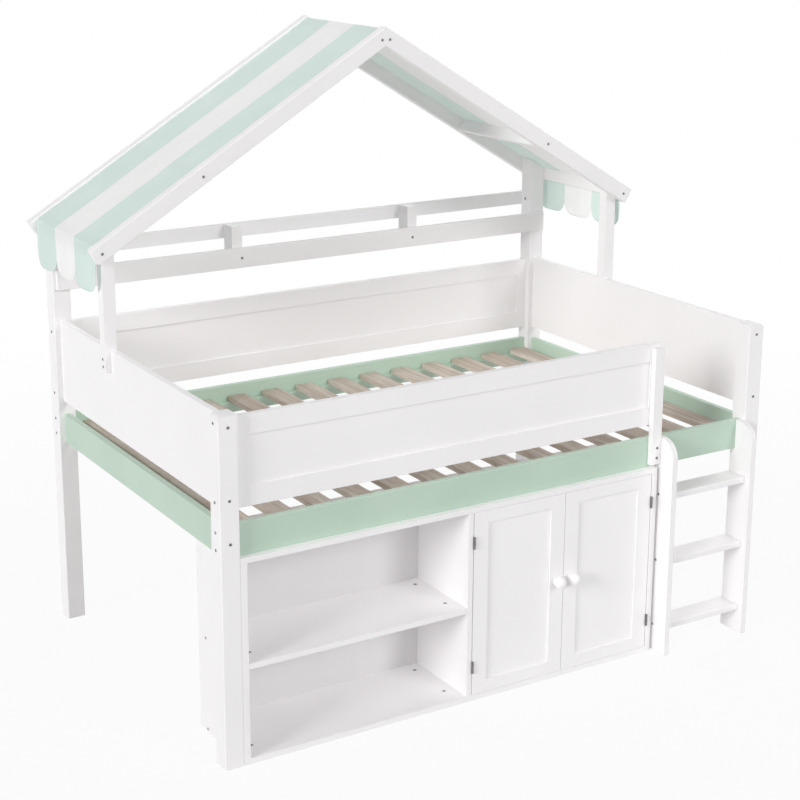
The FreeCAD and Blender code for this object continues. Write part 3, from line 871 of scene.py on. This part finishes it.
# %% Guard and roof bolts
GUARD_POST_BOLT_INSET = 0.018
GUARD_POST_BOLT_RISES = (0.035, 0.070)
SPACER_BOLT_INSET = 0.030
BACK_POST_BOLT_DEPTH = 0.027
guard_post_low, guard_post_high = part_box("guard_post")
guard_post_x = guard_post_high.x - GUARD_POST_BOLT_INSET
guard_bolts = []
for rise in GUARD_POST_BOLT_RISES:
    guard_bolts.append((Vector((guard_post_x, guard_post_low.y, rail_low.z + rise)), FRONT))
spacers_low, spacers_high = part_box("back_guard_spacers")
lower_guard, upper_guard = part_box("back_guard_lower_rail"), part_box("back_guard_upper_rail")
for x in (spacers_low.x + SPACER_BOLT_INSET, spacers_high.x - SPACER_BOLT_INSET):
    guard_bolts.append((Vector((x, lower_guard[0].y, middle("back_guard_lower_rail").z)), FRONT))
    guard_bolts.append((Vector((x, upper_guard[1].y, middle("back_guard_upper_rail").z)), BACK))
inner_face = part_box("post_back_left")[1].x
for side, facing in ((1, RIGHT), (-1, LEFT)):
    depth = back_face - BACK_POST_BOLT_DEPTH
    place = Vector((side * inner_face, depth, middle("back_guard_upper_rail").z))
    guard_bolts.append((place, facing))
set_bolts("guard_bolt_heads", guard_bolts)

RAFTER_BOLT_DROP = 0.030
RIDGE_BOLT_X = 0.015
MID_BOLT_INSET = 0.020
EAVE_BOLT_INSET = 0.011
LAP_BOLT_DROPS = (0.055, 0.030)
roof_bolts = []
roof_front, roof_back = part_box("rafter_front_left")[0].y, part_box("rafter_back_left")[1].y
eave_bolt_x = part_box("eave_battens")[1].x - EAVE_BOLT_INSET
for x in (RIDGE_BOLT_X, mid_batten_x - MID_BOLT_INSET, eave_bolt_x):
    height = apex - x * math.tan(ROOF_PITCH) - RAFTER_BOLT_DROP / math.cos(ROOF_PITCH)
    for side in (-1, 1):
        roof_bolts.append((Vector((side * x, roof_front, height)), FRONT))
        roof_bolts.append((Vector((side * x, roof_back, height)), BACK))
for side, facing in (("left", LEFT), ("right", RIGHT)):
    low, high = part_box("roof_post_" + side)
    outer = low.x if side == "left" else high.x
    for drop in LAP_BOLT_DROPS:
        place = Vector((outer, middle("roof_post_" + side).y, panel_high.z - drop))
        roof_bolts.append((place, facing))
set_bolts("roof_bolt_heads", roof_bolts)

# %% [markdown]
# ## Locks and screws of the storage unit and the ladder
# Shelves of flat furniture are pulled up by cam locks, zinc discs with a small recess, let into the board.
# The treads are screwed through the ladder's stiles, and the shelves through the side of the unit. All of
# them sit nearly flush, so their profiles are flat.

# %% Cam locks and ladder screws
CAM_LOCK = [
    (CIRCLE, 0.0075, 0.0),
    (CIRCLE, 0.0072, 0.0005),
    (CIRCLE, 0.0036, 0.0005),
    (CIRCLE, 0.0032, 0.0001),
    (CIRCLE, 0.0, 0.0001),
]
LOCK_RECESS_FROM = 2
LOCK_END_INSET = 0.0385
LOCK_FRONT_INSET, LOCK_BACK_INSET = 0.073, 0.045
TREAD_SCREW_SHIFT = 0.002
UNIT_SCREW_INSET = 0.046
locks = []
for board in ("unit_shelf", "unit_shelf_bottom"):
    low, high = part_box(board)
    for x in (low.x + LOCK_END_INSET, high.x - LOCK_END_INSET):
        for y in (low.y + LOCK_FRONT_INSET, high.y - LOCK_BACK_INSET):
            locks.append((Vector((x, y, high.z)), UP))
cam_locks = turned_group("shelf_cam_locks", CAM_LOCK, locks, zinc, socket_dark, LOCK_RECESS_FROM)
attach(cam_locks, "frame")
print("cam locks:", len(locks))

near_side, far_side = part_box("ladder_stile_left")[0].x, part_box("ladder_stile_right")[1].x
ladder_screws = []
for tread in ("lower", "middle", "upper"):
    place = middle("ladder_tread_" + tread)
    for x, facing in ((near_side, LEFT), (far_side, RIGHT)):
        ladder_screws.append((Vector((x, place.y + TREAD_SCREW_SHIFT, place.z)), facing))
unit_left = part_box("unit_side_left")[0].x
for board in ("unit_shelf", "unit_shelf_bottom"):
    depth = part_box(board)[1].y - UNIT_SCREW_INSET
    ladder_screws.append((Vector((unit_left, depth, middle(board).z)), LEFT))
set_bolts("ladder_and_unit_screws", ladder_screws, zinc)

# %% [markdown]
# ## Screws of the hinges
# Each hinge leaf is held by two countersunk screws, which only show when the door stands open. The two
# leaves of a closed hinge nearly touch, so a head may stand up by a fifth of a millimetre at most. The
# screws in the carcass ride on the frame, and those in a door's edge ride on that door.

# %% Hinge screws
SCREW_HEAD = [
    (CIRCLE, 0.0028, 0.0),
    (CIRCLE, 0.0026, 0.0002),
    (CIRCLE, 0.0010, 0.0002),
    (CIRCLE, 0.0008, 0.00005),
    (CIRCLE, 0.0, 0.00005),
]
SCREW_RECESS_FROM = 2
LEAF_FACE = 0.0003
SCREW_BACK = 0.008
SCREW_HEIGHTS = (0.010, 0.030)


def set_hinge_screws(body, places):
    name = body + "_hinge_screws"
    screws = turned_group(name, SCREW_HEAD, places, zinc, socket_dark, SCREW_RECESS_FROM)
    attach(screws, body)


carcass_screws = []
for door, away in (("door_left", LEFT), ("door_right", RIGHT)):
    low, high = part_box(door + "_hinge_leaves")
    axis_x = (low.x + high.x) / 2
    heights = [low.z + rise for rise in SCREW_HEIGHTS] + [high.z - rise for rise in SCREW_HEIGHTS]
    axis_places = [Vector((axis_x, high.y - SCREW_BACK, height)) for height in heights]
    edge_places = [(place - away * LEAF_FACE, away) for place in axis_places]
    carcass_screws += [(place + away * LEAF_FACE, -away) for place in axis_places]
    set_hinge_screws(door, edge_places)
set_hinge_screws("frame", carcass_screws)
print("hinge screws:", 2 * len(carcass_screws))

# %% [markdown]
# ## Stage and light
# The bed stands on a plain white floor. Close to the bed the floor takes its shadow. Further out it
# fades to clean white for the camera, so that there is no horizon line. The light is a key from the left,
# a fill from the front and one from behind. White studio walls and a white floor throw light everywhere,
# also under the roof, so three more lamps cast no shadow and stand for them. Little of that light gets
# between the rails of a real bed or to the back of its shelves, so the slats and the back board are left
# out of it. Last comes a weak even sky, which is white where it is seen directly and much less as light.

# %% Floor, sky and lamps
FLOOR_SIZE = 60.0
NEAR_FLOOR, FAR_FLOOR = 1.6, 4.5
WHITE_SHARE = 0.93
SKY_LIGHT = 0.24
DIM_PIECES = ("slats", "unit_back")
FLOOR_DROP = 0.0004
FLOOR_TONES = ((0.61, 0.61, 0.61, 1), (0.64, 0.64, 0.64, 1))
# For each lamp: where its light comes from, strength, spread in degrees, and whether it casts a shadow
LAMPS = {
    "key_light": (Vector((-0.90, -0.28, 0.33)), 1.6, 20, True),
    "front_fill": (Vector((0.30, -0.86, 0.40)), 0.85, 18, True),
    "front_wall": (Vector((0.25, -0.73, 0.64)), 0.58, 40, False),
    "left_wall": (Vector((-0.95, 0.0, 0.30)), 0.52, 40, False),
    "floor_bounce": (Vector((-0.20, -0.35, -0.91)), 0.55, 40, False),
    "back_light": (Vector((0.62, 0.74, 0.25)), 1.8, 40, True),
}


def seen_directly(tree):
    """One for rays from the camera, mirrors and glass, nothing for rays that carry light."""
    rays = add_node(tree, "ShaderNodeLightPath").outputs
    mirrored = calc(tree, "MAXIMUM", rays["Is Glossy Ray"], rays["Is Transmission Ray"])
    return calc(tree, "MAXIMUM", rays["Is Camera Ray"], mirrored)


def lay_floor():
    half = FLOOR_SIZE / 2
    builder = bmesh.new()
    corners = ((-half, -half), (half, -half), (half, half), (-half, half))
    builder.faces.new([builder.verts.new((x, y, -FLOOR_DROP)) for x, y in corners])
    mesh = bpy.data.meshes.new("studio_floor")
    builder.to_mesh(mesh)
    builder.free()
    floor = bpy.data.objects.new("studio_floor", mesh)
    bpy.context.collection.objects.link(floor)
    material, tree, shader = new_material("white_floor")
    place = board_position(tree)
    coat = effect(tree, coat_tone, Position=place, Patches_per_Metre=1.0, Stipple_per_Metre=200.0)
    pale = mix_colour(tree, coat["Patches"], *FLOOR_TONES)
    tree.links.new(pale, shader["Base Color"])
    shader["Roughness"].default_value = 0.9
    shader["Specular IOR Level"].default_value = 0.1
    distance = add_node(tree, "ShaderNodeVectorMath", {0: place}, operation="LENGTH").outputs["Value"]
    fade = map_range(tree, distance, NEAR_FLOOR, FAR_FLOOR, WHITE_SHARE, 1.0)
    glow = add_node(tree, "ShaderNodeEmission", {"Color": (1, 1, 1, 1), "Strength": 1.0})
    share = calc(tree, "MULTIPLY", fade, seen_directly(tree))
    principled = tree.nodes["Principled BSDF"].outputs[0]
    mixed = add_node(tree, "ShaderNodeMixShader", {0: share, 1: principled, 2: glow.outputs[0]})
    tree.links.new(mixed.outputs[0], tree.nodes["Material Output"].inputs["Surface"])
    mesh.materials.append(material)
    return floor


def hang_sky():
    world = bpy.data.worlds.new("white_studio")
    world.use_nodes = True
    tree = world.node_tree
    tree.nodes.clear()
    strength = map_range(tree, seen_directly(tree), 0.0, 1.0, SKY_LIGHT, 1.0)
    sky = add_node(tree, "ShaderNodeBackground", {"Color": (1, 1, 1, 1), "Strength": strength})
    add_node(tree, "ShaderNodeOutputWorld", {"Surface": sky.outputs[0]})
    bpy.context.scene.world = world


def keep_dim(pieces):
    """A list for the lamps without shadow that leaves some pieces out."""
    left_out = bpy.data.collections.new("kept_dim")
    for piece in pieces:
        left_out.objects.link(nodes[piece])
    for entry in left_out.collection_objects:
        entry.light_linking.link_state = "EXCLUDE"
    return left_out


def hang_lamp(name, light_from, strength, spread, shadow):
    """A broad lamp far away. Its spread, in degrees, softens the shadows."""
    light = bpy.data.lights.new(name, "SUN")
    light.energy = strength
    light.angle = math.radians(spread)
    light.use_shadow = shadow
    lamp = bpy.data.objects.new(name, light)
    lamp.rotation_mode = "QUATERNION"
    lamp.rotation_quaternion = light_from.to_track_quat("Z", "Y")
    if not shadow:
        lamp.light_linking.receiver_collection = kept_dim
    bpy.context.collection.objects.link(lamp)


kept_dim = keep_dim(DIM_PIECES)
lay_floor()
hang_sky()
for name, lamp in LAMPS.items():
    hang_lamp(name, *lamp)
# The lamp behind the bed would mirror in the treads and wash them out
bpy.data.objects["back_light"].visible_glossy = False
bpy.context.scene.view_settings.view_transform = "Standard"
print("stage lit")

# %% [markdown]
# ## Camera
# The picture looks at the bed from its front left, from a little above the rails. Upright edges stay
# nearly parallel because the camera is far away and looks through a long lens. The small shift slides
# the picture on the sensor without tilting the camera further.

# %% Camera
IMAGE_WIDTH = 800
SENSOR_WIDTH = 36.0
FOCAL_PIXELS = 1716.6
LOOK_AT = Vector((-0.1515, 0.0, 1.0782))
LOOK_FROM = 5.8532
AZIMUTH, ELEVATION = math.radians(-30.87), math.radians(14.94)
SHIFT_X, SHIFT_Y = 0.04, -0.08

lens = bpy.data.cameras.new("camera")
lens.sensor_width = SENSOR_WIDTH
lens.lens = FOCAL_PIXELS / IMAGE_WIDTH * SENSOR_WIDTH
lens.shift_x, lens.shift_y = SHIFT_X, SHIFT_Y
camera = bpy.data.objects.new("camera", lens)
towards_camera = Vector((
    math.sin(AZIMUTH) * math.cos(ELEVATION),
    -math.cos(AZIMUTH) * math.cos(ELEVATION),
    math.sin(ELEVATION),
))
camera.location = LOOK_AT + LOOK_FROM * towards_camera
camera.rotation_mode = "QUATERNION"
camera.rotation_quaternion = towards_camera.to_track_quat("Z", "Y")
bpy.context.collection.objects.link(camera)
bpy.context.scene.camera = camera
print("lens:", round(lens.lens, 1), "mm")
